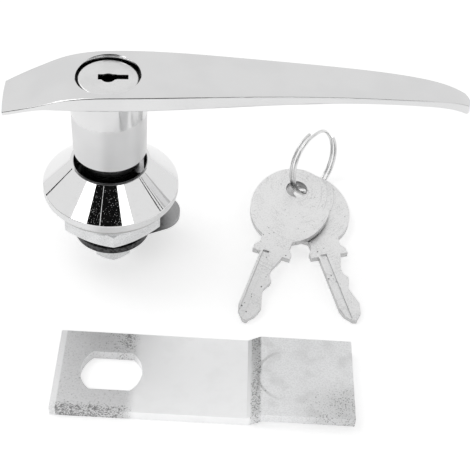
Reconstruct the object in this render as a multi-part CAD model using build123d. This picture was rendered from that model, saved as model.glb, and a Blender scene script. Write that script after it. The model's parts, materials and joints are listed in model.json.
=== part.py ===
from build123d import *
from math import asin, atan2, cos, degrees, pi, radians, sin, sqrt, tan
import os

# Handle cam latch with a keyed lock, its cam taken off and two keys on a split ring.
# Millimetres. z = 0 is the plane of the panel face, under the cone's rim; the lock's axis is Z
# and the handle points along +X.

# Clearances
running_gap = 0.08
sliding_gap = 0.05
fixed_gap = 0.02
seat_gap = 0.1

# Cone housing
rim_radius = 19.15
rim_height = 2.4
cone_height = 7.9
lip_radius = 11.1
lip_wall = 0.95
cavity_floor = 3.0
barrel_radius = 11.0
barrel_length = 13.0
barrel_flats = 20.4
edge_round = 0.35

# Drive shaft, through the housing
shaft_radius = 8.1
flats_across = 12.2
shaft_end_length = 5.1
tenon_radius = 6.5
tenon_length = 4.7
tail_bore_radius = 2.35
screw_hole_depth = 11.0

# Handle casting
spindle_radius = 10.1
spindle_draft = 0.7
spindle_gap = 4.0
handle_top = 39.6
hub_width = 21.0
hub_thickness = 4.4
left_reach = 27.6
right_reach = 97.2
left_end_width = 13.5
left_end_bulge = 0.3
right_end_width = 6.0
right_end_bulge = 1.2
side_overrun = 1.5
# distance along X and half width
plan_shape = [(-12.6, 9.7), (2.0, hub_width / 2), (34.0, 8.8), (65.0, 6.75), (88.5, 4.7)]
# distance along X, drop of the top below the hub's, and thickness
side_shape = [(-left_reach - side_overrun, 8.2, 1.3), (-22.0, 5.3, 1.4), (-17.0, 3.4, 1.8), (-12.6, 1.8, 3.0),
              (3.0, 0.0, hub_thickness), (34.0, 0.6, 3.4), (65.0, 2.3, 2.0), (84.0, 4.2, 2.0), (92.5, 5.8, 2.5),
              (right_reach + right_end_bulge + side_overrun, 9.2, 3.6)]
bore_radius = 8.65
bore_floor = 19.6
mouth_chamfer = 0.15
grip_edge_round = 0.4
pin_recess = 0.3
shell_pin_depth = 1.3
spindle_pin_wall = 1.2

# Lock cylinder
face_recess = 1.3
plug_head_radius = 7.95
plug_edge_round = 0.3
plug_head_height = 2.35
plug_radius = 6.4
shell_height = 14.2
groove_depth = 1.1
wafer_count = 5
wafer_thickness = 0.9
wafer_pitch = 2.5
wafer_width = 5.2
wafer_offset = 0.5
wafer_window_wall = 0.4
first_wafer_depth = 2.7
spring_room = 1.3
lug_width = 0.9
spring_length = 4.1
tail_radius = 3.6
tail_height = 1.8
clip_thickness = 0.7
clip_groove_depth = 0.65
clip_radius = 5.8
clip_opening = 70.0
clip_step = 0.35

# Keyway, as seen on the plug's face
keyway_left = 2.7
keyway_step = 2.2
keyway_right = 5.3
keyway_wide = 2.3
keyway_narrow = 1.95
keyway_offset = 0.4
keyway_depth = 15.6
keyway_hole_radius = 1.9
keyway_hole_depth = 4.0

# Tail bar and locking bolt
tail_bar_radius = 2.25
crank_pin_radius = 0.75
bolt_travel = 2.0
bolt_width = 6.4
bolt_height = 2.6
bolt_top = 8.0
bolt_reach = 9.3
bolt_tail = 3.0
pocket_gap = 0.4
pocket_overlap = 0.5

# Pins
pin_radius = 1.25
shell_pin_height = 30.0
spindle_pin_rise = 2.3

# Stack under the rim
gasket_thickness = 1.5
gasket_radius = 18.0
spacer_thickness = 1.5
spacer_radius = 17.0
lock_washer_thickness = 1.5
lock_washer_radius = 15.8
lock_washer_teeth = 16
tooth_depth = 1.4
nut_thickness = 6.0
nut_across_flats = 27.0
nut_corner_angle = -87.0
nut_chamfer_angle = 30.0

# Seal, retaining ring and stop plate
seal_section = 0.95
circlip_thickness = 1.0
circlip_groove_depth = 0.8
circlip_width = 2.2
circlip_opening = 40.0
plate_thickness = 1.9
plate_radius = 11.0
lobe_x = 13.2
lobe_y = 5.3
lobe_radius = 6.9
tab_wall = 1.15
tab_rise = 2.6
tab_root = 0.5
tab_angle = 150.0
tab_spread = 10.0
handle_travel = 90.0
stop_play = 2.0

# Cam screw and washers
screw_radius = 3.0
screw_length = 9.5
screw_head_across = 10.0
screw_head_height = 3.0
cam_washer_radius = 6.9
cam_washer_thickness = 1.2
spring_washer_radius = 5.2
spring_washer_thickness = 1.3
spring_washer_opening = 14.0
spring_washer_angle = 60.0

# Cam, lying in front of the lock
cam_length = 80.0
cam_width = 26.4
cam_thickness = 3.0
cam_step = 2.0
cam_step_start = 52.4
cam_step_run = 3.4
cam_hole_from_end = 15.0
cam_hole_gap = 0.2
cam_x, cam_y, cam_turn = 25.3, -51.5, -5.0

# Keys
key_thickness = 1.8
key_bow_width = 24.2
key_bow_length = 30.5
key_hole_radius = 3.3
key_hole_to_bow = 6.7
key_neck_width = 9.8
key_neck_length = 1.5
key_neck_overlap = 3.0
key_neck_waist = 0.3
key_shoulder_width = 11.6
key_shoulder_flank = 1.8
key_shoulder_length = 2.0
key_blade_length = 25.2
key_blade_width = 6.8
key_tip_length = 4.8
key_groove_width = 1.8
key_groove_depth = 0.5
key_groove_offset = 1.7
key_groove_end = 0.8
# distance from the shoulder and half width, along the cut edge
key_cuts = [(0.4, 3.4), (5.6, 1.8), (7.8, 2.0), (9.2, 3.0), (10.2, 2.9), (13.3, 1.7), (15.6, 2.1), (19.4, 3.1)]
# distance from the tip and distance from the middle line, round the tip
key_tip = [(2.2, 2.2), (0.0, 0.3), (0.2, -0.8), (2.7, -2.8)]
front_key_heading, rear_key_heading = -21.5, 10.8
front_key_slope, rear_key_slope = 6.7, 2.3
# how far each hole's middle lies from the wire, along the ring and across it
front_key_play, rear_key_play = (-0.8, 1.3), (0.1, 0.9)

# Split ring
ring_x, ring_y = 62.7, 26.5
ring_radius = 10.4
wire_radius = 0.5
coil_pitch = 1.45
ring_lean = 80.0
ring_turn = 45.0
ring_step_angle = 62.0
ring_end_angle = 92.0

# Heights that follow
cone_top = rim_height + cone_height
spindle_bottom = cone_top + spindle_gap
cavity_radius = lip_radius - lip_wall
face_height = handle_top - face_recess
plug_head_bottom = face_height - plug_head_height
shell_top = plug_head_bottom - seat_gap - sliding_gap
shell_bottom = shell_top - shell_height
tail_bottom = shell_bottom - tail_height
circlip_top = -barrel_length - 2 * seat_gap
circlip_bottom = circlip_top - circlip_thickness
plate_top = circlip_bottom - 2 * seat_gap
plate_bottom = plate_top - plate_thickness
shaft_bottom = plate_top - shaft_end_length
cam_washer_bottom = shaft_bottom - cam_washer_thickness
spring_washer_bottom = cam_washer_bottom - spring_washer_thickness
floor = spring_washer_bottom - screw_head_height
crank = bolt_travel / sqrt(2)


def ring(outer, inner, low, high):
    height = high - low
    body = Cylinder(outer, height) - Cylinder(inner, height)
    return Pos(0, 0, (low + high) / 2) * body


def disc(radius, low, high, x=0, y=0):
    return Pos(x, y, (low + high) / 2) * Cylinder(radius, high - low)


def block(x, y, z):
    (x0, x1), (y0, y1), (z0, z1) = x, y, z
    return Pos((x0 + x1) / 2, (y0 + y1) / 2, (z0 + z1) / 2) * Box(x1 - x0, y1 - y0, z1 - z0)


def double_d(radius, across, low, high):
    return disc(radius, low, high) & block((-radius, radius), (-across / 2, across / 2), (low, high))


def sector(inner, outer, start, stop, low, high):
    middle = radians((start + stop) / 2)
    reach = 2 * outer
    edge = [(0, 0), (reach * cos(radians(start)), reach * sin(radians(start)))]
    edge += [(reach * cos(middle), reach * sin(middle))]
    edge += [(reach * cos(radians(stop)), reach * sin(radians(stop)))]
    wedge = Pos(0, 0, low) * extrude(make_face(Polyline(*edge, close=True)), high - low)
    return ring(outer, inner, low, high) & wedge


def open_ring(outer, inner, low, high, opening, centre):
    gap = sector(inner - 1, outer + 1, centre - opening / 2, centre + opening / 2, low - 1, high + 1)
    return ring(outer, inner, low, high) - gap


# Housing and what clamps it to a panel


def cone_housing():
    bore = shaft_radius + running_gap
    outline = Polyline(
        (bore, -barrel_length), (barrel_radius, -barrel_length), (barrel_radius, 0), (rim_radius, 0),
        (rim_radius, rim_height), (lip_radius, cone_top), (cavity_radius, cone_top),
        (cavity_radius, cavity_floor), (bore, cavity_floor), close=True)
    body = revolve(make_face(Plane.XZ * outline), Axis.Z)
    rounded = [e for e in body.edges().filter_by(GeomType.CIRCLE)
               if abs(e.radius - rim_radius) < 0.01 or (e.center().Z > cone_top - 0.01)]
    body = fillet(rounded, edge_round)
    flat = barrel_flats / 2
    for side in (-1, 1):
        cut = block((flat, barrel_radius + 1), (-barrel_radius, barrel_radius), (-barrel_length - 1, 0))
        body -= cut if side > 0 else cut.rotate(Axis.Z, 180)
    for turn in (0, handle_travel):
        body -= bolt_pocket().rotate(Axis.Z, turn)
    low_angle = tab_angle - tab_spread / 2 - stop_play
    high_angle = tab_angle + handle_travel + tab_spread / 2 + stop_play
    notch_inner = plate_tab_inner() - seat_gap
    notch_top = plate_top + tab_rise + 3 * seat_gap
    body -= sector(notch_inner, barrel_radius + 1, low_angle, high_angle, -barrel_length - 1, notch_top)
    return body


def bolt_pocket():
    half = bolt_width / 2 + pocket_gap / 2
    reach = bolt_reach + bolt_travel + pocket_gap
    return block((0, reach), (-half, half), (bolt_top - bolt_height - pocket_gap, bolt_top + pocket_gap)) - disc(
        cavity_radius - pocket_overlap, cavity_floor, cone_top)


def panel_gasket():
    return ring(gasket_radius, barrel_radius + seat_gap, -gasket_thickness, 0)


def spacer_washer():
    top = -gasket_thickness
    return ring(spacer_radius, barrel_radius + seat_gap, top - spacer_thickness, top)


def lock_washer():
    top = -gasket_thickness - spacer_thickness
    low = top - lock_washer_thickness
    body = ring(lock_washer_radius, barrel_radius + seat_gap, low, top)
    half_tooth = 180 / lock_washer_teeth / 2
    for tooth in range(lock_washer_teeth):
        centre = tooth * 360 / lock_washer_teeth
        body -= sector(lock_washer_radius - tooth_depth, lock_washer_radius + 1,
                       centre - half_tooth, centre + half_tooth, low - 1, top + 1)
    return body


def chamfered_hexagon(across, low, high, both_ends, turn):
    corner = across / sqrt(3)
    body = Pos(0, 0, low) * extrude(RegularPolygon(corner, 6, rotation=turn), high - low)
    rise = (corner - across / 2) * tan(radians(nut_chamfer_angle))
    top = high - rise if both_ends else high
    profile = [(0, low), (across / 2, low), (corner, low + rise), (corner, top)]
    profile += [(across / 2, high)] if both_ends else []
    profile += [(0, high)]
    return body & revolve(make_face(Plane.XZ * Polyline(*profile, close=True)), Axis.Z)


def hex_nut():
    top = -gasket_thickness - spacer_thickness - lock_washer_thickness
    low = top - nut_thickness
    body = chamfered_hexagon(nut_across_flats, low, top, True, nut_corner_angle)
    return body - disc(barrel_radius + fixed_gap, low - 1, top + 1)


def neck_o_ring():
    centre = (shaft_radius + cavity_radius) / 2
    height = cavity_floor + seal_section + sliding_gap
    return Pos(0, 0, height) * Torus(centre, seal_section)


# Handle and its shaft


def handle_plan():
    left, right = -left_reach, right_reach
    edge = [(left, left_end_width / 2)] + plan_shape + [(right, right_end_width / 2)]
    back = Spline(*edge)
    front = Spline(*[(x, -y) for x, y in edge])
    left_end = ThreePointArc(front @ 0, (left - left_end_bulge, 0), back @ 0)
    right_end = ThreePointArc(back @ 1, (right + right_end_bulge, 0), front @ 1)
    return make_face([back, right_end, front, left_end])


def handle_side():
    upper = Spline(*[(x, handle_top - drop) for x, drop, _ in side_shape])
    lower = Spline(*[(x, handle_top - drop - thick) for x, drop, thick in side_shape])
    face = make_face([upper, Line(upper @ 1, lower @ 1), lower, Line(upper @ 0, lower @ 0)])
    return Pos(0, hub_width, 0) * (Plane.XZ * face)


def on_mouth(point):
    return abs(sqrt(point.X ** 2 + point.Y ** 2) - bore_radius) < mouth_chamfer and point.Z > plug_head_bottom


def spindle():
    height = handle_top - hub_thickness / 2 - spindle_bottom
    top_radius = spindle_radius + height * tan(radians(spindle_draft))
    return Pos(0, 0, spindle_bottom + height / 2) * Cone(spindle_radius, top_radius, height)


def handle():
    low = spindle_bottom
    plan = Pos(0, 0, low) * extrude(handle_plan(), handle_top + 2 - low)
    grip = plan & extrude(handle_side(), 2 * hub_width)
    grip = fillet(grip.edges(), grip_edge_round)
    body = grip + spindle()
    body -= disc(bore_radius, bore_floor, handle_top + 2)
    body = chamfer([e for e in body.edges() if on_mouth(e @ 0.3) and on_mouth(e @ 0.7)], mouth_chamfer)
    body -= disc(tenon_radius + fixed_gap, low - 1, bore_floor + 1)
    body -= shell_pin_hole()
    body -= spindle_pin_hole()
    return body


def radial_pin(start, stop, height, gap=0.0):
    pin = Cylinder(pin_radius + gap, stop - start).rotate(Axis.X, 90)
    return Pos(0, (start + stop) / 2, height) * pin


def shell_pin_inner():
    return bore_radius - shell_pin_depth


def shell_pin_hole():
    return radial_pin(shell_pin_inner() - fixed_gap, spindle_radius + 1, shell_pin_height, fixed_gap)


def shell_pin():
    return radial_pin(shell_pin_inner(), spindle_radius - pin_recess, shell_pin_height)


def spindle_pin_inner():
    return tail_bore_radius + spindle_pin_wall


def spindle_pin_hole():
    height = spindle_bottom + spindle_pin_rise
    return radial_pin(spindle_pin_inner() - fixed_gap, spindle_radius + 1, height, fixed_gap)


def spindle_pin():
    return radial_pin(spindle_pin_inner(), spindle_radius - pin_recess, spindle_bottom + spindle_pin_rise)


def drive_shaft():
    body = disc(shaft_radius, plate_top, spindle_bottom)
    body += disc(tenon_radius, spindle_bottom, spindle_bottom + tenon_length)
    body += double_d(shaft_radius, flats_across, shaft_bottom, plate_top)
    body -= ring(shaft_radius + 1, shaft_radius - circlip_groove_depth,
                 circlip_bottom - sliding_gap, circlip_top + sliding_gap)
    body -= disc(tail_bore_radius, bolt_top, spindle_bottom + tenon_length + 1)
    body -= block((-bolt_tail - sliding_gap * 4, shaft_radius + 1),
                  (-bolt_width / 2 - sliding_gap, bolt_width / 2 + sliding_gap),
                  (bolt_top - bolt_height - sliding_gap, bolt_top + sliding_gap))
    body -= disc(screw_radius, shaft_bottom - 1, shaft_bottom + screw_hole_depth)
    return body - spindle_pin_hole()


def shaft_circlip():
    inner = shaft_radius - circlip_groove_depth
    return open_ring(inner + circlip_width, inner + fixed_gap, circlip_bottom, circlip_top, circlip_opening, 90)


def plate_tab_inner():
    return plate_radius - tab_wall - seat_gap


def stop_plate():
    low, high = plate_bottom, plate_top
    body = disc(plate_radius, low, high) + disc(lobe_radius, low, high, lobe_x, lobe_y)
    reach = sqrt(lobe_x ** 2 + lobe_y ** 2)
    bridge = block((0, reach), (-lobe_radius, lobe_radius), (low, high))
    body += bridge.rotate(Axis.Z, degrees(atan2(lobe_y, lobe_x)))
    body -= double_d(shaft_radius + fixed_gap, flats_across + 2 * fixed_gap, low - 1, high + 1)
    start, stop = tab_angle - tab_spread / 2, tab_angle + tab_spread / 2
    return body + sector(plate_tab_inner(), plate_radius - seat_gap, start, stop, high - tab_root, high + tab_rise)


def cam_washer():
    return ring(cam_washer_radius, screw_radius + seat_gap, cam_washer_bottom, shaft_bottom)


def spring_washer():
    return open_ring(spring_washer_radius, screw_radius + seat_gap, spring_washer_bottom,
                     cam_washer_bottom, spring_washer_opening, spring_washer_angle)


def cam_screw():
    head = chamfered_hexagon(screw_head_across, floor, spring_washer_bottom, False, nut_corner_angle)
    shank_top = shaft_bottom + screw_length
    return head + disc(screw_radius - sliding_gap, spring_washer_bottom, shank_top)


# Lock cylinder


def cylinder_shell():
    body = ring(bore_radius - fixed_gap, plug_radius + sliding_gap, shell_bottom, shell_top)
    half = wafer_width / 2 + 2 * seat_gap
    reach = plug_radius + groove_depth
    lowest, highest = wafer_level(wafer_count - 1) - wafer_pitch / 2, wafer_level(0) + wafer_pitch / 2
    slot = block((-reach, reach), (wafer_offset - half, wafer_offset + half), (lowest, highest))
    body -= slot
    body -= slot.rotate(Axis.Z, 90)
    return body - shell_pin_hole()


def wafer_level(index):
    return plug_head_bottom - first_wafer_depth - index * wafer_pitch


def spring_pocket_y():
    inner = wafer_offset + wafer_width / 2
    return inner + seat_gap, inner + seat_gap + spring_room


def plug():
    body = disc(plug_head_radius, plug_head_bottom, face_height)
    body += disc(plug_radius, shell_bottom, plug_head_bottom)
    body += disc(tail_radius, tail_bottom, shell_bottom)
    body = fillet(body.faces().sort_by(Axis.Z)[-1].edges(), plug_edge_round)
    low, high = keyway_offset - keyway_wide / 2, keyway_offset + keyway_wide / 2
    body -= block((-keyway_left, keyway_step), (low, high), (face_height - keyway_depth, face_height + 1))
    low, high = keyway_offset - keyway_narrow / 2, keyway_offset + keyway_narrow / 2
    body -= block((keyway_step, keyway_right), (low, high), (face_height - keyway_depth, face_height + 1))
    body -= disc(keyway_hole_radius, face_height - keyway_hole_depth, face_height + 1)
    for index in range(wafer_count):
        body -= wafer_slot(wafer_level(index))
    groove_low = shell_bottom - clip_step - clip_thickness
    body -= ring(tail_radius + 1, tail_radius - clip_groove_depth,
                 groove_low - sliding_gap, groove_low + clip_thickness + sliding_gap)
    return body - disc(tail_bar_radius + fixed_gap, tail_bottom - 1, shell_bottom - 2 * seat_gap)


def wafer_slot(level):
    half = wafer_width / 2 + seat_gap
    z = (level - wafer_thickness / 2 - seat_gap, level + wafer_thickness / 2 + seat_gap)
    slot = block((-plug_radius - 1, plug_radius + 1), (wafer_offset - half, wafer_offset + half), z)
    near, far = spring_pocket_y()
    pocket = (-spring_length - 2 * seat_gap, lug_width + 2 * seat_gap)
    return slot + block(pocket, (near - 2 * seat_gap, far), z)


def wafers():
    return [wafer(wafer_level(index)) for index in range(wafer_count)]


def wafer(level):
    half = wafer_width / 2
    z = (level - wafer_thickness / 2, level + wafer_thickness / 2)
    body = block((-plug_radius, plug_radius), (wafer_offset - half, wafer_offset + half), z)
    body &= disc(plug_radius - seat_gap, z[0], z[1])
    near, far = spring_pocket_y()
    body += block((0, lug_width), (near - 2 * seat_gap, far - seat_gap), z)
    half_window = keyway_wide / 2 + 2 * seat_gap
    window = (-keyway_left - 3 * seat_gap, keyway_right - wafer_window_wall)
    return body - block(window, (keyway_offset - half_window, keyway_offset + half_window), z)


def wafer_springs():
    near, far = spring_pocket_y()
    radius = wafer_thickness / 2
    spring = Cylinder(radius, spring_length).rotate(Axis.Y, 90)
    middle = -spring_length / 2 - sliding_gap
    return [Pos(middle, (near + far) / 2, wafer_level(index)) * spring for index in range(wafer_count)]


def plug_clip():
    low = shell_bottom - clip_step - clip_thickness
    inner = tail_radius - clip_groove_depth + fixed_gap
    return open_ring(clip_radius, inner, low, low + clip_thickness, clip_opening, -90)


def tail_bar():
    rod = disc(tail_bar_radius, bolt_top + 2 * seat_gap, shell_bottom - 3 * seat_gap)
    offset = crank / sqrt(2)
    pin = disc(crank_pin_radius, bolt_top - bolt_height + 2 * seat_gap, bolt_top + 3 * seat_gap, -offset, -offset)
    return rod + pin


def locking_bolt():
    low = bolt_top - bolt_height
    half = bolt_width / 2
    body = block((-bolt_tail, bolt_reach), (-half, half), (low, bolt_top))
    offset = crank / sqrt(2)
    side = crank_pin_radius + 3 * sliding_gap
    near = -crank - crank_pin_radius - 2 * sliding_gap
    far = -offset + crank_pin_radius + 2 * sliding_gap
    return body - block((-offset - side, -offset + side), (near, far), (low - 1, bolt_top + 1))


# Cam


def cam():
    slope = atan2(cam_step, cam_step_run)
    shift = cam_thickness * tan(slope / 2)
    end = cam_step_start + cam_step_run
    side = Polyline(
        (0, 0), (cam_step_start, 0), (end, cam_step), (cam_length, cam_step),
        (cam_length, cam_step + cam_thickness), (end - shift, cam_step + cam_thickness),
        (cam_step_start - shift, cam_thickness), (0, cam_thickness), close=True)
    body = extrude(make_face(Plane.XZ * side), cam_width / 2, both=True)
    hole = double_d(shaft_radius + cam_hole_gap, flats_across + 2 * cam_hole_gap, -1, cam_thickness + 1)
    body -= Pos(cam_hole_from_end, 0, 0) * hole
    centred = Pos(-cam_length / 2, 0, 0) * body
    return Pos(cam_x, cam_y, floor) * Rot(0, 0, cam_turn) * centred


# Keys on their split ring


def key_bow_end():
    return -key_hole_to_bow - key_bow_length / 2


def key_stop():
    return key_bow_end() - key_neck_length - key_shoulder_flank - key_shoulder_length


def key_tip_distance():
    return key_blade_length - key_stop()


def key_outline():
    stop, tip = key_stop(), -key_tip_distance()
    half_neck, half_shoulder, half_blade = key_neck_width / 2, key_shoulder_width / 2, key_blade_width / 2
    half_neck_end, flank_end = half_neck - key_neck_waist, stop + key_shoulder_length
    right_side = [(half_neck, key_bow_end() + key_neck_overlap), (half_neck_end, flank_end + key_shoulder_flank),
                  (half_shoulder, flank_end), (half_shoulder, stop)]
    left_side = [(-x, y) for x, y in reversed(right_side)]
    blade = [(-half_blade, stop + key_shoulder_length), (half_blade, stop + key_shoulder_length)]
    blade += [(half_width, stop - distance) for distance, half_width in key_cuts]
    blade += [(side, tip + distance) for distance, side in key_tip] + [(-half_blade, tip + key_tip_length)]
    outline = Pos(0, -key_hole_to_bow) * Ellipse(key_bow_width / 2, key_bow_length / 2)
    outline += make_face(Polyline(*right_side, *left_side, close=True))
    outline += make_face(Polyline(*blade, close=True))
    return outline - Circle(key_hole_radius)


def key_blank():
    stop, tip = key_stop(), -key_tip_distance()
    top, bottom = key_thickness / 2, -key_thickness / 2
    body = extrude(key_outline(), key_thickness / 2, both=True)
    near, far = key_groove_offset - key_groove_width / 2, key_groove_offset + key_groove_width / 2
    body -= block((-far, -near), (tip + key_groove_end, stop + key_groove_end), (top - key_groove_depth, top + 1))
    return body - block((near, far), (tip - 1, stop - key_groove_end), (bottom - 1, bottom + key_groove_depth))


def hole_height(slope, heading):
    run = key_tip_distance() * cos(radians(heading))
    return floor + run * tan(radians(slope)) + key_thickness / 2 / cos(radians(slope))


def place_key(hole, heading, slope):
    return Pos(*hole) * Rot(slope, 0, 0) * Rot(0, 0, heading) * key_blank()


def ring_axes():
    turn, lean = radians(ring_turn), radians(ring_lean)
    along = Vector(sin(turn), cos(turn), 0)
    rise = Vector(-cos(turn) * cos(lean), sin(turn) * cos(lean), sin(lean))
    return along, rise


def ring_point(angle):
    along, rise = ring_axes()
    return along * (ring_radius * cos(radians(angle))) + rise * (ring_radius * sin(radians(angle)))


def ring_angle_at(height):
    _, rise = ring_axes()
    return -180 - degrees(asin((height - ring_centre_height()) / (ring_radius * rise.Z)))


def ring_centre_height():
    along, rise = ring_axes()
    normal = along.cross(rise)
    return floor + ring_radius * rise.Z + coil_pitch / 2 * abs(normal.Z) + wire_radius


def hole_on_ring(height, play):
    along, _ = ring_axes()
    wire = Vector(ring_x, ring_y, ring_centre_height()) + ring_point(ring_angle_at(height))
    return wire + along * play[0] + Vector(along.Y, -along.X, 0) * play[1]


def front_hole():
    return hole_on_ring(hole_height(front_key_slope, front_key_heading), front_key_play)


def rear_hole():
    return hole_on_ring(hole_height(rear_key_slope, rear_key_heading), rear_key_play)


def biarc(start, start_way, end, end_way):
    across = end - start
    both = start_way + end_way
    spread = 2 * (1 - start_way.dot(end_way))
    lead = across.dot(both)
    reach = (sqrt(lead ** 2 + spread * across.dot(across)) - lead) / spread
    middle = (start + end + (start_way - end_way) * reach) * 0.5
    first = TangentArc(start, middle, tangent=start_way)
    return [first, TangentArc(middle, end, tangent=first % 1)]


def least_gap(wire):
    count = round(wire.length / wire_radius)
    points = [wire @ (index / count) for index in range(count + 1)]
    apart = round(count * 4 * wire_radius / wire.length)
    pairs = [(a, b) for a in range(count + 1) for b in range(a + apart, count + 1)]
    return min((points[a] - points[b]).length for a, b in pairs) - 2 * wire_radius


def split_ring():
    first = ring_end_angle
    half = coil_pitch / 2
    step = ring_step_angle
    low_coil = CenterArc((0, 0, -half), ring_radius, first, 360 - step)
    high_coil = CenterArc((0, 0, half), ring_radius, first, 360 - step)
    halfway = 0.5 * step
    rise = Vector(ring_radius * cos(radians(first - halfway)), ring_radius * sin(radians(first - halfway)), 0)
    way = Vector(-sin(radians(first - halfway)), cos(radians(first - halfway)), 0)
    climb = atan2(coil_pitch, radians(step) * ring_radius) * 1.5
    tilted = way * cos(climb) + Vector(0, 0, sin(climb))
    path = [low_coil]
    path += biarc(low_coil @ 1, low_coil % 1, rise, tilted.normalized())
    path += biarc(rise, tilted.normalized(), high_coil @ 0, high_coil % 0)
    path += [high_coil]
    wire = Wire(Curve(children=path).edges())
    print("split ring wire", round(wire.length, 1), "mm, least gap to itself", round(least_gap(wire), 3), "mm")
    section = Plane(wire @ 0, z_dir=wire % 0) * Circle(wire_radius)
    flat_ring = sweep(section, path=wire)
    print("split ring volume over section times length", flat_ring.volume / (pi * wire_radius ** 2 * wire.length))
    along, rise_way = ring_axes()
    plane = Plane(origin=Vector(ring_x, ring_y, ring_centre_height()), x_dir=along, z_dir=along.cross(rise_way))
    return plane.location * flat_ring


def key_front():
    return place_key(front_hole(), front_key_heading, front_key_slope)


def key_rear():
    return place_key(rear_hole(), rear_key_heading, rear_key_slope)


pieces = [
    cone_housing, panel_gasket, spacer_washer, lock_washer, hex_nut, neck_o_ring,
    handle, drive_shaft, spindle_pin, shell_pin, shaft_circlip, stop_plate, cam_washer, spring_washer, cam_screw,
    cylinder_shell, plug, wafers, wafer_springs, plug_clip, tail_bar, locking_bolt,
    cam, split_ring, key_front, key_rear,
]

os.makedirs("parts", exist_ok=True)
for piece in pieces:
    made = piece()
    solids = made if isinstance(made, list) else made.solids()
    export_step(Compound(children=[s.solid() for s in solids]), f"parts/{piece.__name__}.step")
print("floor", floor, "front hole", front_hole(), "rear hole", rear_hole())
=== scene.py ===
# Handle cam latch: finishes, real threads and springs, floor, light and camera.
# Everything is in metres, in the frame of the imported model.
import bmesh
import bpy
import json
from math import cos, pi, radians, sin
from mathutils import Matrix, Vector


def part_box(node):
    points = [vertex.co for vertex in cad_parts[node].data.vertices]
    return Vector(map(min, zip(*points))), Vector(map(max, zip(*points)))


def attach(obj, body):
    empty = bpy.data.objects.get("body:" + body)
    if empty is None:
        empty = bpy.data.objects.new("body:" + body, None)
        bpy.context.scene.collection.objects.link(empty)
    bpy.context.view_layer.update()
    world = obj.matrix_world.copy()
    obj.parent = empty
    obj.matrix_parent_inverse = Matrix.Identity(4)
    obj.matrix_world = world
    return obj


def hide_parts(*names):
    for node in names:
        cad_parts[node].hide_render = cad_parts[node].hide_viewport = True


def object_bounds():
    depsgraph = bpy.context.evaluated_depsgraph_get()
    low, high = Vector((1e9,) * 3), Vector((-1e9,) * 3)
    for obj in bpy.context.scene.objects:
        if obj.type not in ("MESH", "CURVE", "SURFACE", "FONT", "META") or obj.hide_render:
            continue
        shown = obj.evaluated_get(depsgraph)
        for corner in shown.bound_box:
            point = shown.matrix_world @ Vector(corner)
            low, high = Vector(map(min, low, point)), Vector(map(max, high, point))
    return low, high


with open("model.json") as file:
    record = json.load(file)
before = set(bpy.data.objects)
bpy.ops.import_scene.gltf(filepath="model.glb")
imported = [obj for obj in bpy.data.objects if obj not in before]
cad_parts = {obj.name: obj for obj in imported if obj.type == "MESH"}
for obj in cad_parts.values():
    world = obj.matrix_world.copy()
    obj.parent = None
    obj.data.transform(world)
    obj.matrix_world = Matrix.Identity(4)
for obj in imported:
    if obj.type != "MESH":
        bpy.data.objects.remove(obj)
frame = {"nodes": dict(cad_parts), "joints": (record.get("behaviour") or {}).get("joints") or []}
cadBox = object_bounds()
nodes = frame["nodes"]
mm = 0.001
noiseSpan = (0.35, 0.65)  # where most of a noise texture's values lie
falling = (1.0, 0.0)


# Node helpers that every finish uses

def startFinish(name, look):
    material = bpy.data.materials.new(name)
    material.use_nodes = True
    shader = material.node_tree.nodes["Principled BSDF"]
    shader.inputs["Metallic"].default_value = look.get("metal", 1.0)
    return material, material.node_tree, shader


def objectPlace(tree, centre=(0, 0, 0), turn=0.0):
    # coordinates of the piece itself, measured from a centre and turned about Z
    place = tree.nodes.new("ShaderNodeTexCoord")
    mapping = tree.nodes.new("ShaderNodeMapping")
    mapping.vector_type = "TEXTURE"
    mapping.inputs["Location"].default_value = centre
    mapping.inputs["Rotation"].default_value = (0, 0, turn)
    tree.links.new(place.outputs["Object"], mapping.inputs["Vector"])
    return mapping.outputs["Vector"]


def stretched(tree, place, stretch):
    mapping = tree.nodes.new("ShaderNodeMapping")
    mapping.inputs["Scale"].default_value = stretch
    tree.links.new(place, mapping.inputs["Vector"])
    return mapping.outputs["Vector"]


def noiseOf(tree, place, size, detail=2.0, rough=0.5):
    # size is the width of one blotch
    noise = tree.nodes.new("ShaderNodeTexNoise")
    noise.inputs["Scale"].default_value = 1 / size
    noise.inputs["Detail"].default_value = detail
    noise.inputs["Roughness"].default_value = rough
    tree.links.new(place, noise.inputs["Vector"])
    return noise.outputs["Fac"]


def dotsOf(tree, place, size):
    # distance to the nearest of many scattered points, in cells
    cells = tree.nodes.new("ShaderNodeTexVoronoi")
    cells.inputs["Scale"].default_value = 1 / size
    tree.links.new(place, cells.inputs["Vector"])
    return cells.outputs["Distance"]


def ramp(tree, value, span, results=(0.0, 1.0)):
    node = tree.nodes.new("ShaderNodeMapRange")
    node.interpolation_type = "SMOOTHSTEP"
    for socket, number in zip(("From Min", "From Max", "To Min", "To Max"), span + results):
        node.inputs[socket].default_value = number
    tree.links.new(value, node.inputs["Value"])
    return node.outputs["Result"]


def calc(tree, operation, first, second=0.0):
    node = tree.nodes.new("ShaderNodeMath")
    node.operation = operation
    for socket, value in zip(node.inputs, (first, second)):
        if isinstance(value, (int, float)):
            socket.default_value = value
        else:
            tree.links.new(value, socket)
    return node.outputs[0]


def times(tree, first, second):
    return calc(tree, "MULTIPLY", first, second)


def plus(tree, first, second):
    return calc(tree, "ADD", first, second)


def larger(tree, first, second):
    return calc(tree, "MAXIMUM", first, second)


def shareOut(tree, share, first, second):
    return plus(tree, times(tree, first, share), times(tree, second, 1 - share))


def edgeOf(tree, distance, width, core=0.5):
    # 1 in the core of a spot or line, falling to 0 at its edge
    return ramp(tree, distance, (width * core, width), falling)


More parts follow.
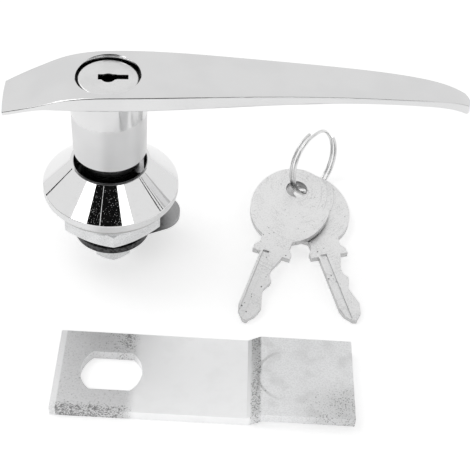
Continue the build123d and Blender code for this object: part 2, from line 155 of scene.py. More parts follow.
def mixOf(tree, amount, first, second):
    node = tree.nodes.new("ShaderNodeMix")
    node.data_type = "RGBA"
    tree.links.new(amount, node.inputs[0])
    for index, value in ((6, first), (7, second)):
        if isinstance(value, tuple):
            node.inputs[index].default_value = (*value, 1)
        else:
            tree.links.new(value, node.inputs[index])
    return node.outputs[2]


def bumpOf(tree, shader, *layers):
    # each layer is a pattern and how far it stands out, or sinks in where that is negative
    height = 0.0
    for pattern, depth in layers:
        height = plus(tree, height, times(tree, pattern, depth / mm))
    node = tree.nodes.new("ShaderNodeBump")
    node.inputs["Distance"].default_value = mm
    tree.links.new(height, node.inputs["Height"])
    tree.links.new(node.outputs["Normal"], shader.inputs["Normal"])


def axisOf(tree, place, axis):
    split = tree.nodes.new("ShaderNodeSeparateXYZ")
    tree.links.new(place, split.inputs["Vector"])
    return split.outputs[axis]


def radiusOf(tree, place):
    flat = stretched(tree, place, (1, 1, 0))
    length = tree.nodes.new("ShaderNodeVectorMath")
    length.operation = "LENGTH"
    tree.links.new(flat, length.inputs[0])
    return length.outputs["Value"]


def grey(level):
    return (level, level, level)


def addObject(name, data):
    made = bpy.data.objects.new(name, data)
    bpy.context.scene.collection.objects.link(made)
    return made


def meshObject(name, mesh):
    data = bpy.data.meshes.new(name)
    mesh.to_mesh(data)
    mesh.free()
    return addObject(name, data)


def dress(finish, *names):
    for name in names:
        slots = nodes[name].data.materials
        slots.clear()
        slots.append(finish)


# Handle: polished chrome over a casting, slightly soft, with faint polishing lines along it

handleChrome = {
    "colour": (0.75, 0.75, 0.753), "cloudColour": (0.78, 0.78, 0.782), "cloudSize": 14 * mm,
    "rough": (0.10, 0.17), "smearSize": 9 * mm, "spindleBelow": (27 * mm, 29 * mm), "spindleRough": 0.30,
    "lineSize": 0.16 * mm, "lineLength": 60, "lineDepth": 0.0016 * mm, "lineShare": 0.4,
    "waveSize": 7 * mm, "waveDepth": 0.010 * mm,
}


def makeHandleChrome(look):
    finish, tree, shader = startFinish("handleChrome", look)
    place = objectPlace(tree)
    clouds = ramp(tree, noiseOf(tree, place, look["cloudSize"]), noiseSpan)
    tree.links.new(mixOf(tree, clouds, look["colour"], look["cloudColour"]), shader.inputs["Base Color"])
    lines = noiseOf(tree, stretched(tree, place, (1 / look["lineLength"], 1, 1)), look["lineSize"], detail=3)
    smears = noiseOf(tree, place, look["smearSize"], detail=4)
    rough = ramp(tree, shareOut(tree, look["lineShare"], lines, smears), noiseSpan, look["rough"])
    onSpindle = ramp(tree, axisOf(tree, place, "Z"), look["spindleBelow"], (look["spindleRough"], 0.0))
    tree.links.new(plus(tree, rough, onSpindle), shader.inputs["Roughness"])
    waves = noiseOf(tree, place, look["waveSize"], detail=1)
    bumpOf(tree, shader, (waves, look["waveDepth"]), (lines, look["lineDepth"]))
    return finish


dress(makeHandleChrome(handleChrome), "handle")
print("handle finished")


# Cone housing: mirror chrome with tiny pits in the plating, and a turned wall round the rim

coneChrome = {
    "colour": (0.83, 0.83, 0.832), "rough": (0.02, 0.06), "smearSize": 5 * mm, "smearSpan": (0.35, 0.7),
    "pitColour": grey(0.72), "pitRough": 0.6, "pitSize": 0.44 * mm, "pitEdge": 0.25, "pitDepth": 0.0005 * mm,
    "patchSize": 4.0 * mm, "patchSpan": (0.30, 0.60), "patchShares": (0.25, 1.0),
    "wallTop": (2.2 * mm, 2.42 * mm), "wallRough": 0.42,
    "wallLineSize": 0.25 * mm, "wallLineLength": 50, "wallLineDepth": 0.02 * mm,
    "peelSize": 0.9 * mm, "peelDepth": 0.0012 * mm,
}


def makeConeChrome(look):
    finish, tree, shader = startFinish("coneChrome", look)
    place = objectPlace(tree)
    thick = noiseOf(tree, place, look["patchSize"], detail=3)
    patches = ramp(tree, thick, look["patchSpan"], look["patchShares"])
    pits = times(tree, edgeOf(tree, dotsOf(tree, place, look["pitSize"]), look["pitEdge"]), patches)
    tree.links.new(mixOf(tree, pits, look["colour"], look["pitColour"]), shader.inputs["Base Color"])
    smears = ramp(tree, noiseOf(tree, place, look["smearSize"], detail=4), look["smearSpan"], look["rough"])
    rough = plus(tree, smears, times(tree, pits, look["pitRough"]))
    wall = ramp(tree, axisOf(tree, place, "Z"), look["wallTop"], falling)
    rough = plus(tree, rough, times(tree, wall, look["wallRough"]))
    tree.links.new(rough, shader.inputs["Roughness"])
    shrink = 1 / look["wallLineLength"]
    turned = noiseOf(tree, stretched(tree, place, (shrink, shrink, 1)), look["wallLineSize"])
    peel = noiseOf(tree, place, look["peelSize"])
    bumpOf(tree, shader, (peel, look["peelDepth"]), (pits, -look["pitDepth"]),
           (times(tree, turned, wall), look["wallLineDepth"]))
    return finish


# Turned or rolled metal: lines round the lock's axis, speckle, and dull patches

turnedPattern = {
    "speckleRough": 0.7, "patchSpan": (0.38, 0.66), "speckleShares": (0.4, 1.0), "lineShare": 0.5,
    "roughSpan": (0.36, 0.64),
}


def makeTurnedMetal(name, look, pattern=turnedPattern):
    finish, tree, shader = startFinish(name, look)
    place = objectPlace(tree)
    turned = tree.nodes.new("ShaderNodeCombineXYZ")
    tree.links.new(radiusOf(tree, place), turned.inputs["X"])
    tree.links.new(axisOf(tree, place, "Z"), turned.inputs["Z"])
    lines = noiseOf(tree, turned.outputs["Vector"], look["lineSize"], detail=3)
    speckle = noiseOf(tree, place, look["grainSize"], detail=3, rough=pattern["speckleRough"])
    patches = ramp(tree, noiseOf(tree, place, look["patchSize"], detail=3), pattern["patchSpan"])
    tone = times(tree, patches, ramp(tree, speckle, noiseSpan, pattern["speckleShares"]))
    base = mixOf(tree, tone, look["colour"], look["dullColour"])
    if "clearOfShadeColour" in look:
        # painted shade: dark near the axis, under the nut and barrel, paler further out
        base = mixOf(tree, ramp(tree, radiusOf(tree, place), look["shadeEdge"]), base, look["clearOfShadeColour"])
    if "greaseAndShade" in look:
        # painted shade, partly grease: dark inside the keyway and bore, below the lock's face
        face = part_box("plug")[1].z - look["greaseAndShadeDepth"]
        below = ramp(tree, axisOf(tree, place, "Z"), (face - look["greaseAndShadeDepth"], face), falling)
        base = mixOf(tree, below, base, look["greaseAndShade"])
    tree.links.new(base, shader.inputs["Base Color"])
    mixed = shareOut(tree, pattern["lineShare"], lines, speckle)
    tree.links.new(ramp(tree, mixed, pattern["roughSpan"], look["rough"]), shader.inputs["Roughness"])
    bumpOf(tree, shader, (lines, look["lineDepth"]), (speckle, look["grainDepth"]))
    return finish


lockNickel = {
    "colour": grey(0.80), "dullColour": grey(0.74), "rough": (0.26, 0.38), "patchSize": 5 * mm,
    "lineSize": 0.12 * mm, "lineDepth": 0.002 * mm, "grainSize": 0.3 * mm, "grainDepth": 0.002 * mm,
    # painted shade, partly grease, inside the keyway and bore below the face
    "greaseAndShadeDepth": 0.35 * mm, "greaseAndShade": grey(0.012),
}
shaftSteel = {
    "colour": (0.14, 0.14, 0.143), "dullColour": grey(0.07), "rough": (0.20, 0.40), "patchSize": 4 * mm,
    "lineSize": 0.25 * mm, "lineDepth": 0.006 * mm, "grainSize": 0.4 * mm, "grainDepth": 0.003 * mm,
}
brightSteel = {
    "colour": (0.62, 0.62, 0.63), "dullColour": grey(0.45), "rough": (0.24, 0.40), "patchSize": 4 * mm,
    "lineSize": 0.2 * mm, "lineDepth": 0.004 * mm, "grainSize": 0.35 * mm, "grainDepth": 0.003 * mm,
}
zincPlate = {
    "colour": (0.78, 0.785, 0.79), "dullColour": (0.66, 0.665, 0.67), "rough": (0.22, 0.36),
    "lineSize": 0.35 * mm, "lineDepth": 0.012 * mm, "grainSize": 0.5 * mm, "grainDepth": 0.012 * mm,
    "patchSize": 5 * mm,
}
blackenedAndShadedSteel = {
    "colour": (0.085, 0.085, 0.087), "dullColour": grey(0.004), "rough": (0.26, 0.46), "patchSize": 0.7 * mm,
    "lineSize": 0.5 * mm, "lineDepth": 0.004 * mm, "grainSize": 0.42 * mm, "grainDepth": 0.030 * mm,
    # painted shade: the stop plate stays dark near the axis, under the nut, and turns paler from 12.5 to 19
    # mm out
    "clearOfShadeColour": (0.36, 0.36, 0.363), "shadeEdge": (12.5 * mm, 19 * mm),
}
waferBrass = {
    "colour": (0.78, 0.62, 0.32), "dullColour": (0.62, 0.47, 0.22), "rough": (0.28, 0.42),
    "lineSize": 0.3 * mm, "lineDepth": 0.003 * mm, "grainSize": 0.3 * mm, "grainDepth": 0.003 * mm,
    "patchSize": 3 * mm,
}

zincFinish = makeTurnedMetal("zincPlate", zincPlate)
brightFinish = makeTurnedMetal("brightSteel", brightSteel)
blackFinish = makeTurnedMetal("blackenedAndShadedSteel", blackenedAndShadedSteel)
dress(makeTurnedMetal("lockNickel", lockNickel), "plug", "cylinder_shell")
dress(makeTurnedMetal("shaftSteel", shaftSteel), "drive_shaft")
dress(brightFinish, "spindle_pin", "shell_pin", "tail_bar", "locking_bolt")
dress(zincFinish, "spacer_washer", "lock_washer", "hex_nut", "cam_washer", "spring_washer", "cam_screw")
dress(blackFinish, "stop_plate", "shaft_circlip", "plug_clip")
dress(makeTurnedMetal("waferBrass", waferBrass), "wafers")
print("turned and plated pieces finished")


# Seal and gasket: moulded, with a paler bloom in patches

sealRubber = {
    "metal": 0.0, "colour": (0.022, 0.022, 0.023), "bloomColour": grey(0.06), "bloomSize": 2.5 * mm,
    "bloomSpan": (0.4, 0.65), "grainSize": 0.2 * mm, "grainDepth": 0.010 * mm, "rough": (0.45, 0.65),
}
gasketNylon = {
    "metal": 0.0, "colour": (0.72, 0.72, 0.71), "bloomColour": (0.64, 0.64, 0.63), "bloomSize": 4 * mm,
    "bloomSpan": (0.4, 0.65), "grainSize": 0.3 * mm, "grainDepth": 0.012 * mm, "rough": (0.40, 0.55),
}


def makeMoulded(name, look):
    finish, tree, shader = startFinish(name, look)
    place = objectPlace(tree)
    bloom = ramp(tree, noiseOf(tree, place, look["bloomSize"], detail=4), look["bloomSpan"])
    tree.links.new(mixOf(tree, bloom, look["colour"], look["bloomColour"]), shader.inputs["Base Color"])
    grain = noiseOf(tree, place, look["grainSize"], detail=3)
    tree.links.new(ramp(tree, grain, noiseSpan, look["rough"]), shader.inputs["Roughness"])
    bumpOf(tree, shader, (grain, look["grainDepth"]))
    return finish


dress(makeMoulded("sealRubber", sealRubber), "neck_o_ring")
dress(makeMoulded("gasketNylon", gasketNylon), "panel_gasket")
print("seal and gasket finished")


# Cam: zinc over rolled strip, dull and speckled round the hole, at the bend and on the tongue, with painted
# shade along the bend

camZinc = {
    "turn": radians(-5.0), "bright": (0.97, 0.972, 0.975), "dull": (0.72, 0.72, 0.725),
    "tongue": (0.87, 0.875, 0.88), "rough": (0.30, 0.44), "roughInSpeckle": 0.10, "patchSize": 5 * mm,
    "speckSize": 0.46 * mm, "speckRough": 0.85, "speckDepth": 0.012 * mm,
    "grainSize": 0.55 * mm, "grainRough": 0.65, "grainDepth": 0.012 * mm,
    "rollSize": 0.3 * mm, "rollLength": 30, "rollDepth": 0.003 * mm,
}
# where each area starts and ends, along the strip from its holed end or across it from its middle
camPlaces = {
    "nearHole": (19.1 * mm, 22.9 * mm), "driftSize": 9 * mm, "drift": 1.2 * mm,
    "rightOfHole": (9 * mm, 18 * mm), "farSide": (2 * mm, 9 * mm), "nearEdge": (-9.5 * mm, -12.5 * mm),
    "bendMiddle": 53.8 * mm, "bendWidth": 1.7 * mm, "bendSide": (-6 * mm, 12 * mm),
    "pastBend": (52.6 * mm, 54.6 * mm), "cornerAlong": (60 * mm, 78 * mm), "cornerAcross": (2 * mm, -9 * mm),
    "arcRadius": 8.2 * mm, "arcStart": 54.3 * mm, "arcFade": 9 * mm, "arcWidth": 0.55 * mm, "arcCore": 0.3,
    "endStrip": (1.4 * mm, 1.82 * mm),
}
# how much of each area is speckled, how the noise is cut into specks, and the painted shade across the bend
camSpeckle = {
    "nearEdge": 1.1, "hole": 0.25, "corner": 0.7, "arc": 0.5, "bendShade": (0.30, 0.62),
    "patchSpan": (0.30, 0.60), "patchShares": (0.45, 1.0), "cut": 0.68, "cutFall": 0.19,
    "speckEdge": 0.05, "areaSpan": (0.05, 0.3), "mottleSpan": (0.42, 0.62),
    "cloudSpan": (0.45, 0.70), "cloudOffTongue": 0.25,
}
# what lies over the strip's own colour: area, strength and colour
camTones = [
    ("mottle", 0.28, grey(0.50)), ("clouds", 0.35, grey(0.62)), ("corner", 0.45, grey(0.48)),
    ("bendShade", 1.0, grey(0.40)), ("arc", 0.55, grey(0.45)), ("specks", 0.70, grey(0.10)),
    ("endStrip", 0.7, camZinc["bright"]),
]


def camStartPlace(tree, turn):
    # coordinates along and across the strip; the cam lies turned, so its box is larger than the strip
    low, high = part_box("cam")
    size, lean = high - low, abs(turn)
    length = (size.x * cos(lean) - size.y * sin(lean)) / cos(2 * lean)
    middle = Vector(((low.x + high.x) / 2, (low.y + high.y) / 2, low.z))
    start = middle - Vector((cos(turn), sin(turn), 0)) * length / 2
    return objectPlace(tree, tuple(start), turn)


def punchArc(tree, length, across, places):
    # the punch leaves a curved mark on the tongue, beside the bend
    toArc = calc(tree, "SUBTRACT", length, places["arcStart"] + places["arcRadius"])
    squares = plus(tree, calc(tree, "POWER", toArc, 2.0), calc(tree, "POWER", across, 2.0))
    offArc = calc(tree, "SUBTRACT", calc(tree, "POWER", squares, 0.5), places["arcRadius"])
    line = edgeOf(tree, calc(tree, "ABSOLUTE", offArc), places["arcWidth"], places["arcCore"])
    fade = (places["arcStart"], places["arcStart"] + places["arcFade"])
    return times(tree, line, ramp(tree, length, fade, falling))


def camAreas(tree, place, places):
    length, across = axisOf(tree, place, "X"), axisOf(tree, place, "Y")
    drift = calc(tree, "SUBTRACT", noiseOf(tree, place, places["driftSize"]), 0.5)
    loose = plus(tree, length, times(tree, drift, places["drift"]))
    offBend = calc(tree, "ABSOLUTE", calc(tree, "SUBTRACT", loose, places["bendMiddle"]))
    areas = {
        "nearHole": ramp(tree, loose, places["nearHole"], falling),
        "atBend": edgeOf(tree, offBend, places["bendWidth"]),
        "endStrip": ramp(tree, length, places["endStrip"], falling),
        "arc": punchArc(tree, length, across, places),
    }
    for area in ("pastBend", "rightOfHole", "cornerAlong"):
        areas[area] = ramp(tree, length, places[area])
    for area in ("farSide", "nearEdge", "cornerAcross"):
        areas[area] = ramp(tree, across, places[area])
    areas["corner"] = times(tree, areas["cornerAlong"], areas["cornerAcross"])
    # painted shade along the bend, stronger towards one side
    shade = ramp(tree, across, places["bendSide"], camSpeckle["bendShade"])
    areas["bendShade"] = times(tree, areas["atBend"], shade)
    return areas


def camSpecks(tree, areas, speckle, patches, share):
    # adds specks above the hole, along the near edge, at the bend and in the tongue's near corner,
    # and the mottle and clouds of the plating
    aboveHole = times(tree, areas["farSide"], areas["rightOfHole"])
    aroundHole = larger(tree, aboveHole, times(tree, areas["nearEdge"], share["nearEdge"]))
    aroundHole = times(tree, areas["nearHole"], larger(tree, aroundHole, share["hole"]))
    onTongue = larger(tree, areas["atBend"], times(tree, areas["arc"], share["arc"]))
    area = larger(tree, aroundHole, times(tree, areas["corner"], share["corner"]))
    inPatches = ramp(tree, patches, share["patchSpan"], share["patchShares"])
    area = times(tree, larger(tree, area, onTongue), inPatches)
    cut = calc(tree, "SUBTRACT", share["cut"], times(tree, area, share["cutFall"]))
    specks = ramp(tree, calc(tree, "SUBTRACT", speckle, cut), (0.0, share["speckEdge"]))
    areas["speckled"] = area
    areas["specks"] = times(tree, specks, ramp(tree, area, share["areaSpan"]))
    offBright = plus(tree, areas["pastBend"], areas["nearHole"])
    areas["mottle"] = times(tree, ramp(tree, speckle, share["mottleSpan"]), offBright)
    onSteel = plus(tree, areas["pastBend"], share["cloudOffTongue"])
    areas["clouds"] = times(tree, ramp(tree, patches, share["cloudSpan"]), onSteel)


def makeCamZinc(look):
    finish, tree, shader = startFinish("camZinc", look)
    place = camStartPlace(tree, look["turn"])
    areas = camAreas(tree, place, camPlaces)
    speckle = noiseOf(tree, place, look["speckSize"], rough=look["speckRough"])
    patches = noiseOf(tree, place, look["patchSize"], detail=3)
    camSpecks(tree, areas, speckle, patches, camSpeckle)
    base = mixOf(tree, areas["pastBend"], look["bright"], look["tongue"])
    base = mixOf(tree, areas["nearHole"], base, look["dull"])
    for area, strength, tone in camTones:
        base = mixOf(tree, times(tree, areas[area], strength), base, tone)
    tree.links.new(base, shader.inputs["Base Color"])
    rolled = noiseOf(tree, stretched(tree, place, (1, 1 / look["rollLength"], 1)), look["rollSize"], detail=3)
    grain = noiseOf(tree, place, look["grainSize"], detail=3, rough=look["grainRough"])
    duller = times(tree, areas["speckled"], look["roughInSpeckle"])
    rough = plus(tree, ramp(tree, grain, noiseSpan, look["rough"]), duller)
    tree.links.new(rough, shader.inputs["Roughness"])
    bumpOf(tree, shader, (rolled, look["rollDepth"]), (grain, look["grainDepth"]),
           (areas["specks"], -look["speckDepth"]))
    return finish


dress(makeCamZinc(camZinc), "cam")
print("cam finished")


# Keys: satin nickel, ground in fine arcs round the hole, with pinholes, grain and painted shade on the
# upright sides

keyNickel = {
    "colour": grey(0.87), "dull": grey(0.64), "dark": grey(0.14), "rough": (0.28, 0.42),
    "arcSize": 0.42 * mm, "arcDepth": 0.016 * mm, "arcSpan": (0.52, 0.66), "arcTone": 0.8, "arcOval": 0.7,
    "grainSize": 0.40 * mm, "grainRough": 0.75, "grainDepth": 0.022 * mm, "grainSpan": (0.48, 0.64),
    "patchSize": 6 * mm, "patchSpan": (0.40, 0.62), "grainInPatches": 0.5, "grainAround": 0.4,
    "arcShare": 0.4, "spotSize": 1.5 * mm, "spotEdge": 0.20, "spotDepth": 0.03 * mm, "spotTone": 0.6,
    "spotsOffTip": 0.6, "spotPatch": 3.1 * mm, "spotSpan": (0.50, 0.56), "nearTip": (-12 * mm, -22 * mm),
}
# colour and strength of the painted shade on the upright sides, and how the edges are rounded
keySides = {
    "colour": grey(0.34), "tone": 0.5, "upright": (0.30, 0.85),
    "joinWithin": 0.001 * mm, "bevel": 0.20 * mm, "bevelSteps": 2, "bevelAngle": radians(40),
}


def softEdges(name, sides):
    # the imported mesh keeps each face's corners apart, so they are joined before the edges are rounded
    piece = nodes[name]
    weld = piece.modifiers.new("joined", "WELD")
    weld.merge_threshold = sides["joinWithin"]
    bevel = piece.modifiers.new("softEdges", "BEVEL")
    bevel.width, bevel.segments = sides["bevel"], sides["bevelSteps"]
    bevel.limit_method, bevel.angle_limit = "ANGLE", sides["bevelAngle"]
    bevel.harden_normals = True


def paintedSideShade(tree, sides):
    # painted shade: the upright sides are darkened, which draws a dark outline round each key
    side = tree.nodes.new("ShaderNodeNewGeometry")
    upright = calc(tree, "ABSOLUTE", axisOf(tree, side.outputs["True Normal"], "Z"))
    return ramp(tree, upright, sides["upright"], (sides["tone"], 0.0))


def pinholes(tree, place, look):
    # dark spots in loose groups, more of them towards the tip
    spots = edgeOf(tree, dotsOf(tree, place, look["spotSize"]), look["spotEdge"])
    kept = ramp(tree, noiseOf(tree, place, look["spotPatch"]), look["spotSpan"])
    nearTip = plus(tree, ramp(tree, axisOf(tree, place, "Y"), look["nearTip"]), look["spotsOffTip"])
    return times(tree, spots, times(tree, kept, nearTip))


def makeKeyNickel(name, look, sides, joint):
    finish, tree, shader = startFinish(name, look)
    hole = [found["pos_m"] for found in frame["joints"] if found["name"] == joint][0]
    place = objectPlace(tree, tuple(hole))
    arcs = tree.nodes.new("ShaderNodeCombineXYZ")
    tree.links.new(radiusOf(tree, stretched(tree, place, (1, look["arcOval"], 1))), arcs.inputs["X"])
    lines = noiseOf(tree, arcs.outputs["Vector"], look["arcSize"])
    grain = noiseOf(tree, place, look["grainSize"], detail=3, rough=look["grainRough"])
    patches = ramp(tree, noiseOf(tree, place, look["patchSize"], detail=3), look["patchSpan"])
    # arcs show in patches, grain everywhere
    arcTone = times(tree, ramp(tree, lines, look["arcSpan"]), times(tree, patches, look["arcTone"]))
    everywhere = plus(tree, times(tree, patches, look["grainInPatches"]), look["grainAround"])
    tone = larger(tree, arcTone, times(tree, ramp(tree, grain, look["grainSpan"]), everywhere))
    spots = pinholes(tree, place, look)
    base = mixOf(tree, tone, look["colour"], look["dull"])
    base = mixOf(tree, times(tree, spots, look["spotTone"]), base, look["dark"])
    # painted shade on the upright sides
    base = mixOf(tree, paintedSideShade(tree, sides), base, sides["colour"])
    tree.links.new(base, shader.inputs["Base Color"])
    mixed = shareOut(tree, look["arcShare"], lines, grain)
    tree.links.new(ramp(tree, mixed, noiseSpan, look["rough"]), shader.inputs["Roughness"])
    bumpOf(tree, shader, (lines, look["arcDepth"]), (grain, look["grainDepth"]), (spots, -look["spotDepth"]))
    return finish


for keyNode, keyJoint in (("key_front", "key_front_swing"), ("key_rear", "key_rear_swing")):
    dress(makeKeyNickel(keyNode + "Nickel", keyNickel, keySides, keyJoint), keyNode)
    softEdges(keyNode, keySides)


# Split ring: nickelled spring wire

ringSteel = {
    "colour": grey(0.80), "dullColour": grey(0.66), "rough": (0.18, 0.28), "patchSize": 3 * mm,
    "lineSize": 0.6 * mm, "lineDepth": 0.0006 * mm, "grainSize": 0.5 * mm, "grainDepth": 0.0008 * mm,
}
dress(makeTurnedMetal("ringSteel", ringSteel), "split_ring")
print("keys and ring finished")


# Housing with its real thread, in place of the plain barrel

housingShape = {
    "columns": 288, "rimHeight": 2.4 * mm, "rimRadius": 19.15 * mm, "lip": 11.1 * mm, "cavity": 10.15 * mm,
    "cavityFloor": 3.0 * mm, "bore": 8.18 * mm, "barrel": 11.0 * mm, "flats": 20.4 * mm, "round": 0.35 * mm,
    "pitch": 1.5 * mm, "threadDepth": 0.8 * mm, "threadFlank": 1.25, "rowsPerTurn": 12,
    "leadIn": 0.9 * mm, "notchStart": 143, "notchStop": 247, "notchRadius": 9.65 * mm,
    "notchTop": -11.5 * mm, "edgeAngle": 0.05, "edgeHeight": 0.01 * mm, "sharpAngle": 32,
    "pocketWidth": 6.8 * mm, "pocketStart": 8.65 * mm, "pocketReach": 11.7 * mm,
    "pocketHeights": (5.0 * mm, 8.4 * mm),
}


def roundedCorner(before, corner, after, radius, steps=6, beyond=1.25, leastTangent=0.2):
    # points of the curve that rounds one corner of a turned outline, and one more beyond each end of it
    back, ahead = (before - corner).normalized(), (after - corner).normalized()
    tangent = ((1 - back.dot(ahead)) / (1 + back.dot(ahead))) ** 0.5
    reach = radius / max(leastTangent, tangent)
    start, stop = corner + back * reach, corner + ahead * reach
    points = [corner + back * reach * beyond]
    for step in range(steps + 1):
        along = step / steps
        points.append(start * (1 - along) ** 2 + corner * 2 * along * (1 - along) + stop * along ** 2)
    points.append(corner + ahead * reach * beyond)
    return points


def threadRadius(shape, angle, z, bottom):
    # a trapezoid thread wound round the barrel, planed off at the flats, the notch and the lead-in
    phase = (z / shape["pitch"] - angle / (2 * pi)) % 1.0
    fall = abs(phase - 0.5) * 2
    flank = shape["threadFlank"]
    rise = min(1.0, max(0.0, flank * (1 - fall) - (flank - 1) / 2))
    radius = shape["barrel"] - shape["threadDepth"] * (1 - rise)
    lead = (z - bottom) / shape["leadIn"]
    if lead < 1:
        radius = min(radius, shape["barrel"] - shape["threadDepth"] * (1 - lead))
    if radius * abs(cos(angle)) > shape["flats"] / 2:
        radius = shape["flats"] / 2 / abs(cos(angle))
    inNotch = radians(shape["notchStart"]) < angle < radians(shape["notchStop"])
    if inNotch and z < shape["notchTop"] + shape["edgeHeight"] / 2:
        radius = shape["notchRadius"]
    return radius


def housingColumns(shape):
    angles = [2 * pi * index / shape["columns"] for index in range(shape["columns"])]
    for edge in (shape["notchStart"], shape["notchStop"]):
        angles += [radians(edge - shape["edgeAngle"]), radians(edge + shape["edgeAngle"])]
    return sorted(angles)


def barrelHeights(shape, bottom):
    rows = int(-bottom / shape["pitch"] * shape["rowsPerTurn"])
    heights = [bottom * (1 - row / rows) for row in range(rows)]
    heights += [shape["notchTop"] - shape["edgeHeight"], shape["notchTop"] + shape["edgeHeight"]]
    return sorted(heights)


def coneOutline(shape, top):
    # from the barrel out under the rim, up the cone, over its lip and down to the cavity's floor
    corners = [(shape["barrel"], 0), (shape["rimRadius"], 0), (shape["rimRadius"], shape["rimHeight"]),
               (shape["lip"], top), (shape["cavity"], top), (shape["cavity"], shape["cavityFloor"])]
    corners = [Vector(corner) for corner in corners]
    points = []
    for before, corner, after in zip(corners, corners[1:], corners[2:]):
        points += roundedCorner(before, corner, after, shape["round"])
    return points + corners[-1:]


def makeHousing(shape, finish):
    low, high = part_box("cone_housing")
    heights, cone = barrelHeights(shape, low.z), coneOutline(shape, high.z)
    mesh = bmesh.new()
    columns = []
    for angle in housingColumns(shape):
        outline = [(shape["bore"], shape["cavityFloor"]), (shape["bore"], low.z)]
        outline += [(threadRadius(shape, angle, z, low.z), z) for z in heights]
        outline += [(shape["barrel"], 0.0)]
        outline += [(point.x, point.y) for point in cone]
        columns.append([mesh.verts.new((r * cos(angle), r * sin(angle), z)) for r, z in outline])
    for first, second in zip(columns, columns[1:] + columns[:1]):
        for row in range(len(first)):
            nextRow = (row + 1) % len(first)
            mesh.faces.new((first[row], first[nextRow], second[nextRow], second[row]))
    bmesh.ops.recalc_face_normals(mesh, faces=mesh.faces)
    housing = meshObject("threadedHousing", mesh)
    cutBoltPockets(housing, shape)
    housing.data.shade_smooth()
    housing.data.set_sharp_from_angle(angle=radians(shape["sharpAngle"]))
    housing.data.materials.append(finish)
    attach(housing, "housing")
    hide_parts("cone_housing")


def makeBlock(name, low, high):
    mesh = bmesh.new()
    bmesh.ops.create_cube(mesh, size=1)
    for vertex in mesh.verts:
        vertex.co = [near + (far - near) * (share + 0.5) for near, far, share in zip(low, high, vertex.co)]
    return meshObject(name, mesh)


def cutBoltPockets(housing, shape):
    # the locking bolt enters the cavity's wall at two places a quarter turn apart
    half, start, reach = shape["pocketWidth"] / 2, shape["pocketStart"], shape["pocketReach"]
    low, high = shape["pocketHeights"]
    cutters = [makeBlock("pocketX", (start, -half, low), (reach, half, high)),
               makeBlock("pocketY", (-half, start, low), (half, reach, high))]
    for cutter in cutters:
        cut = housing.modifiers.new("pocket", "BOOLEAN")
        cut.operation, cut.solver, cut.object = "DIFFERENCE", "EXACT", cutter
    bpy.context.view_layer.update()
    evaluated = housing.evaluated_get(bpy.context.evaluated_depsgraph_get())
    data = bpy.data.meshes.new_from_object(evaluated)
    housing.modifiers.clear()
    housing.data = data
    for cutter in cutters:
        bpy.data.objects.remove(cutter)


makeHousing(housingShape, makeConeChrome(coneChrome))
print("housing threaded")


# Wafer springs: real coils in place of the plain rods

springShape = {"count": 5, "turns": 7, "wire": 0.16 * mm, "pointsPerTurn": 14}


def makeWaferSprings(shape, finish):
    low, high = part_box("wafer_springs")
    radius = (high.y - low.y) / 2
    coil = radius - shape["wire"] / 2
    pitch = (high.z - low.z - 2 * radius) / (shape["count"] - 1)
    curve = bpy.data.curves.new("waferCoils", "CURVE")
    curve.dimensions = "3D"
    curve.bevel_depth = shape["wire"] / 2
    curve.bevel_resolution = 2
    curve.use_fill_caps = True
    steps = shape["turns"] * shape["pointsPerTurn"]
    reach = high.x - low.x - shape["wire"]
    for index in range(shape["count"]):
        centre = Vector((low.x + shape["wire"] / 2, (low.y + high.y) / 2, low.z + radius + index * pitch))
        spline = curve.splines.new("POLY")
        spline.points.add(steps)
        for step, point in enumerate(spline.points):
            angle = 2 * pi * step / shape["pointsPerTurn"]
            spot = centre + Vector((reach * step / steps, coil * cos(angle), coil * sin(angle)))
            point.co = (*spot, 1)
    curve.materials.append(finish)
    coils = addObject("waferCoils", curve)
    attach(coils, "plug")
    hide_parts("wafer_springs")


makeWaferSprings(springShape, brightFinish)
print("wafer springs wound")


# Floor, world, light and camera

stageLook = {
    "floorSize": 3.0, "floorColour": grey(0.90), "floorLift": 0.46, "floorMirrored": 0.39,
    "ambient": 0.55, "shown": 1.0, "reflected": 0.88,
}


def seenLevel(tree, direct, mirrored):
    # one level for what the camera sees, another for what metal or glass shows of it
    path = tree.nodes.new("ShaderNodeLightPath")
    through = larger(tree, path.outputs["Is Glossy Ray"], path.outputs["Is Transmission Ray"])
    return plus(tree, times(tree, path.outputs["Is Camera Ray"], direct), times(tree, through, mirrored))


def makeFloor(look):
    low, high = cadBox
    bpy.ops.mesh.primitive_plane_add(size=look["floorSize"], location=((low.x + high.x) / 2, 0, low.z))
    floor = bpy.context.object
    floor.name = "floor"
    material = bpy.data.materials.new("floorPaper")
    material.use_nodes = True
    tree = material.node_tree
    tree.nodes.clear()
    diffuse = tree.nodes.new("ShaderNodeBsdfDiffuse")
    diffuse.inputs["Color"].default_value = (*look["floorColour"], 1)
    lift = tree.nodes.new("ShaderNodeEmission")
    tree.links.new(seenLevel(tree, look["floorLift"], look["floorMirrored"]), lift.inputs["Strength"])
    both = tree.nodes.new("ShaderNodeAddShader")
    out = tree.nodes.new("ShaderNodeOutputMaterial")
    tree.links.new(diffuse.outputs[0], both.inputs[0])
    tree.links.new(lift.outputs[0], both.inputs[1])
    tree.links.new(both.outputs[0], out.inputs["Surface"])
    floor.data.materials.append(material)


def makeWorld(look):
    world = bpy.data.worlds.new("studio")
    bpy.context.scene.world = world
    world.use_nodes = True
    tree = world.node_tree
    background = tree.nodes["Background"]
    background.inputs["Color"].default_value = (1, 1, 1, 1)
    more = seenLevel(tree, look["shown"] - look["ambient"], look["reflected"] - look["ambient"])
    tree.links.new(plus(tree, look["ambient"], more), background.inputs["Strength"])


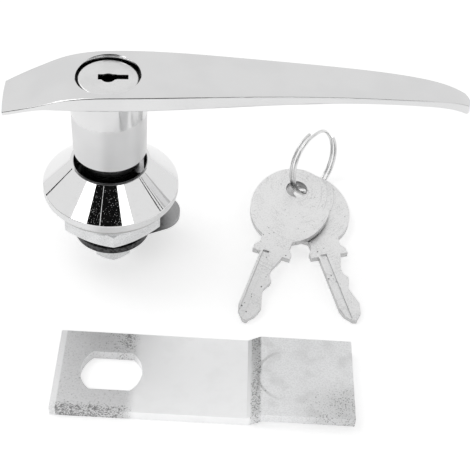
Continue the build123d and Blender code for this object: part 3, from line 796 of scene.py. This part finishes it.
# azimuth and elevation in degrees as seen from the lock, the rest in metres and watts
softBoxes = {
    "leftBox": {
        "azimuth": -54.4, "elevation": 39, "away": 0.95,
        "width": 0.34, "height": 0.26, "power": 0.38,
    },
    "rightBox": {
        "azimuth": 28.8, "elevation": 44.5, "away": 0.95,
        "width": 0.23, "height": 0.15, "power": 0.15,
    },
    "highBox": {
        "azimuth": -112, "elevation": 62, "away": 1.1,
        "width": 0.5, "height": 0.5, "power": 1.6,
    },
}
# what the chrome mirrors besides: curved cards round the lock, from one azimuth to another,
# with the lower edge at one elevation and the upper edge rising or falling between two
mirroredCards = {
    "frontCardLeft": {"azimuths": (-41.1, -20.0), "low": 33, "tops": (60, 60), "grey": 0.01},
    "frontCardRight": {"azimuths": (-18.8, 19.2), "low": 33, "tops": (60, 60), "grey": 0.01},
    "topCard": {"azimuths": (-85, 85), "low": 50, "tops": (86, 86), "grey": 0.01},
    "lineCardLeft": {"azimuths": (-116.4, -114.4), "low": 4, "tops": (18, 18), "grey": 0.01},
    "horizonCardLeft": {"azimuths": (-110, -42), "low": 1, "tops": (10, 37), "grey": 0.01},
    "lineCardRight": {"azimuths": (83.3, 85.1), "low": 16, "tops": (44, 44), "grey": 0.02},
    "lineCardFarRight": {"azimuths": (87.9, 89.2), "low": 16, "tops": (44, 44), "grey": 0.1},
    "paleCardRight": {"azimuths": (91, 104), "low": 12, "tops": (33, 33), "grey": 0.9},
}
cardDistance, cardStep = 0.9, 6


def onSphere(azimuth, elevation, distance):
    # azimuth 0 is the camera's side
    azimuth, elevation = radians(azimuth), radians(elevation)
    return Vector((sin(azimuth) * cos(elevation), -cos(azimuth) * cos(elevation), sin(elevation))) * distance


def makeSoftBox(name, spot):
    lamp = bpy.data.lights.new(name, "AREA")
    lamp.shape = "RECTANGLE"
    lamp.size, lamp.size_y = spot["width"], spot["height"]
    lamp.energy = spot["power"]
    box = addObject(name, lamp)
    box.rotation_mode = "QUATERNION"
    box.location = onSphere(spot["azimuth"], spot["elevation"], spot["away"])
    box.rotation_quaternion = (-box.location).to_track_quat("-Z", "Y")


def makeCardPaper(name, spot):
    paper, _, shader = startFinish(name + "Paper", {"metal": 0.0})
    shader.inputs["Base Color"].default_value = (*grey(spot["grey"]), 1)
    shader.inputs["Specular IOR Level"].default_value = 0.0
    return paper


def makeCard(name, spot):
    first, last = spot["azimuths"]
    steps = max(1, round((last - first) / cardStep))
    points, faces = [], []
    for step in range(steps + 1):
        along = step / steps
        azimuth = first + (last - first) * along
        top = spot["tops"][0] + (spot["tops"][1] - spot["tops"][0]) * along
        points += [onSphere(azimuth, spot["low"], cardDistance), onSphere(azimuth, top, cardDistance)]
    for step in range(steps):
        faces.append((2 * step, 2 * step + 2, 2 * step + 3, 2 * step + 1))
    data = bpy.data.meshes.new(name)
    data.from_pydata(points, [], faces)
    data.materials.append(makeCardPaper(name, spot))
    card = addObject(name, data)
    # out of the picture, and casting nothing on the floor
    card.visible_camera = card.visible_diffuse = card.visible_shadow = False


cameraLook = {"place": (8.3 * mm, -239.5 * mm, 218.9 * mm), "aside": 6.74, "down": 44.72, "roll": 4.57,
              "lens": 86.5, "sensor": 36, "clip": (0.01, 20)}


def makeCamera(look):
    data = bpy.data.cameras.new("camera")
    data.lens = look["lens"]
    data.sensor_width = look["sensor"]
    data.clip_start, data.clip_end = look["clip"]
    camera = addObject("camera", data)
    heading = Matrix.Rotation(radians(-look["aside"]), 4, "Z")
    tilt = Matrix.Rotation(radians(90 - look["down"]), 4, "X")
    roll = Matrix.Rotation(radians(look["roll"]), 4, "Z")
    camera.matrix_world = Matrix.Translation(look["place"]) @ heading @ tilt @ roll
    bpy.context.scene.camera = camera


makeFloor(stageLook)
makeWorld(stageLook)
for name, spot in softBoxes.items():
    makeSoftBox(name, spot)
for name, spot in mirroredCards.items():
    makeCard(name, spot)
makeCamera(cameraLook)
bpy.context.scene.view_settings.view_transform = "Standard"
print("stage, light and camera set")
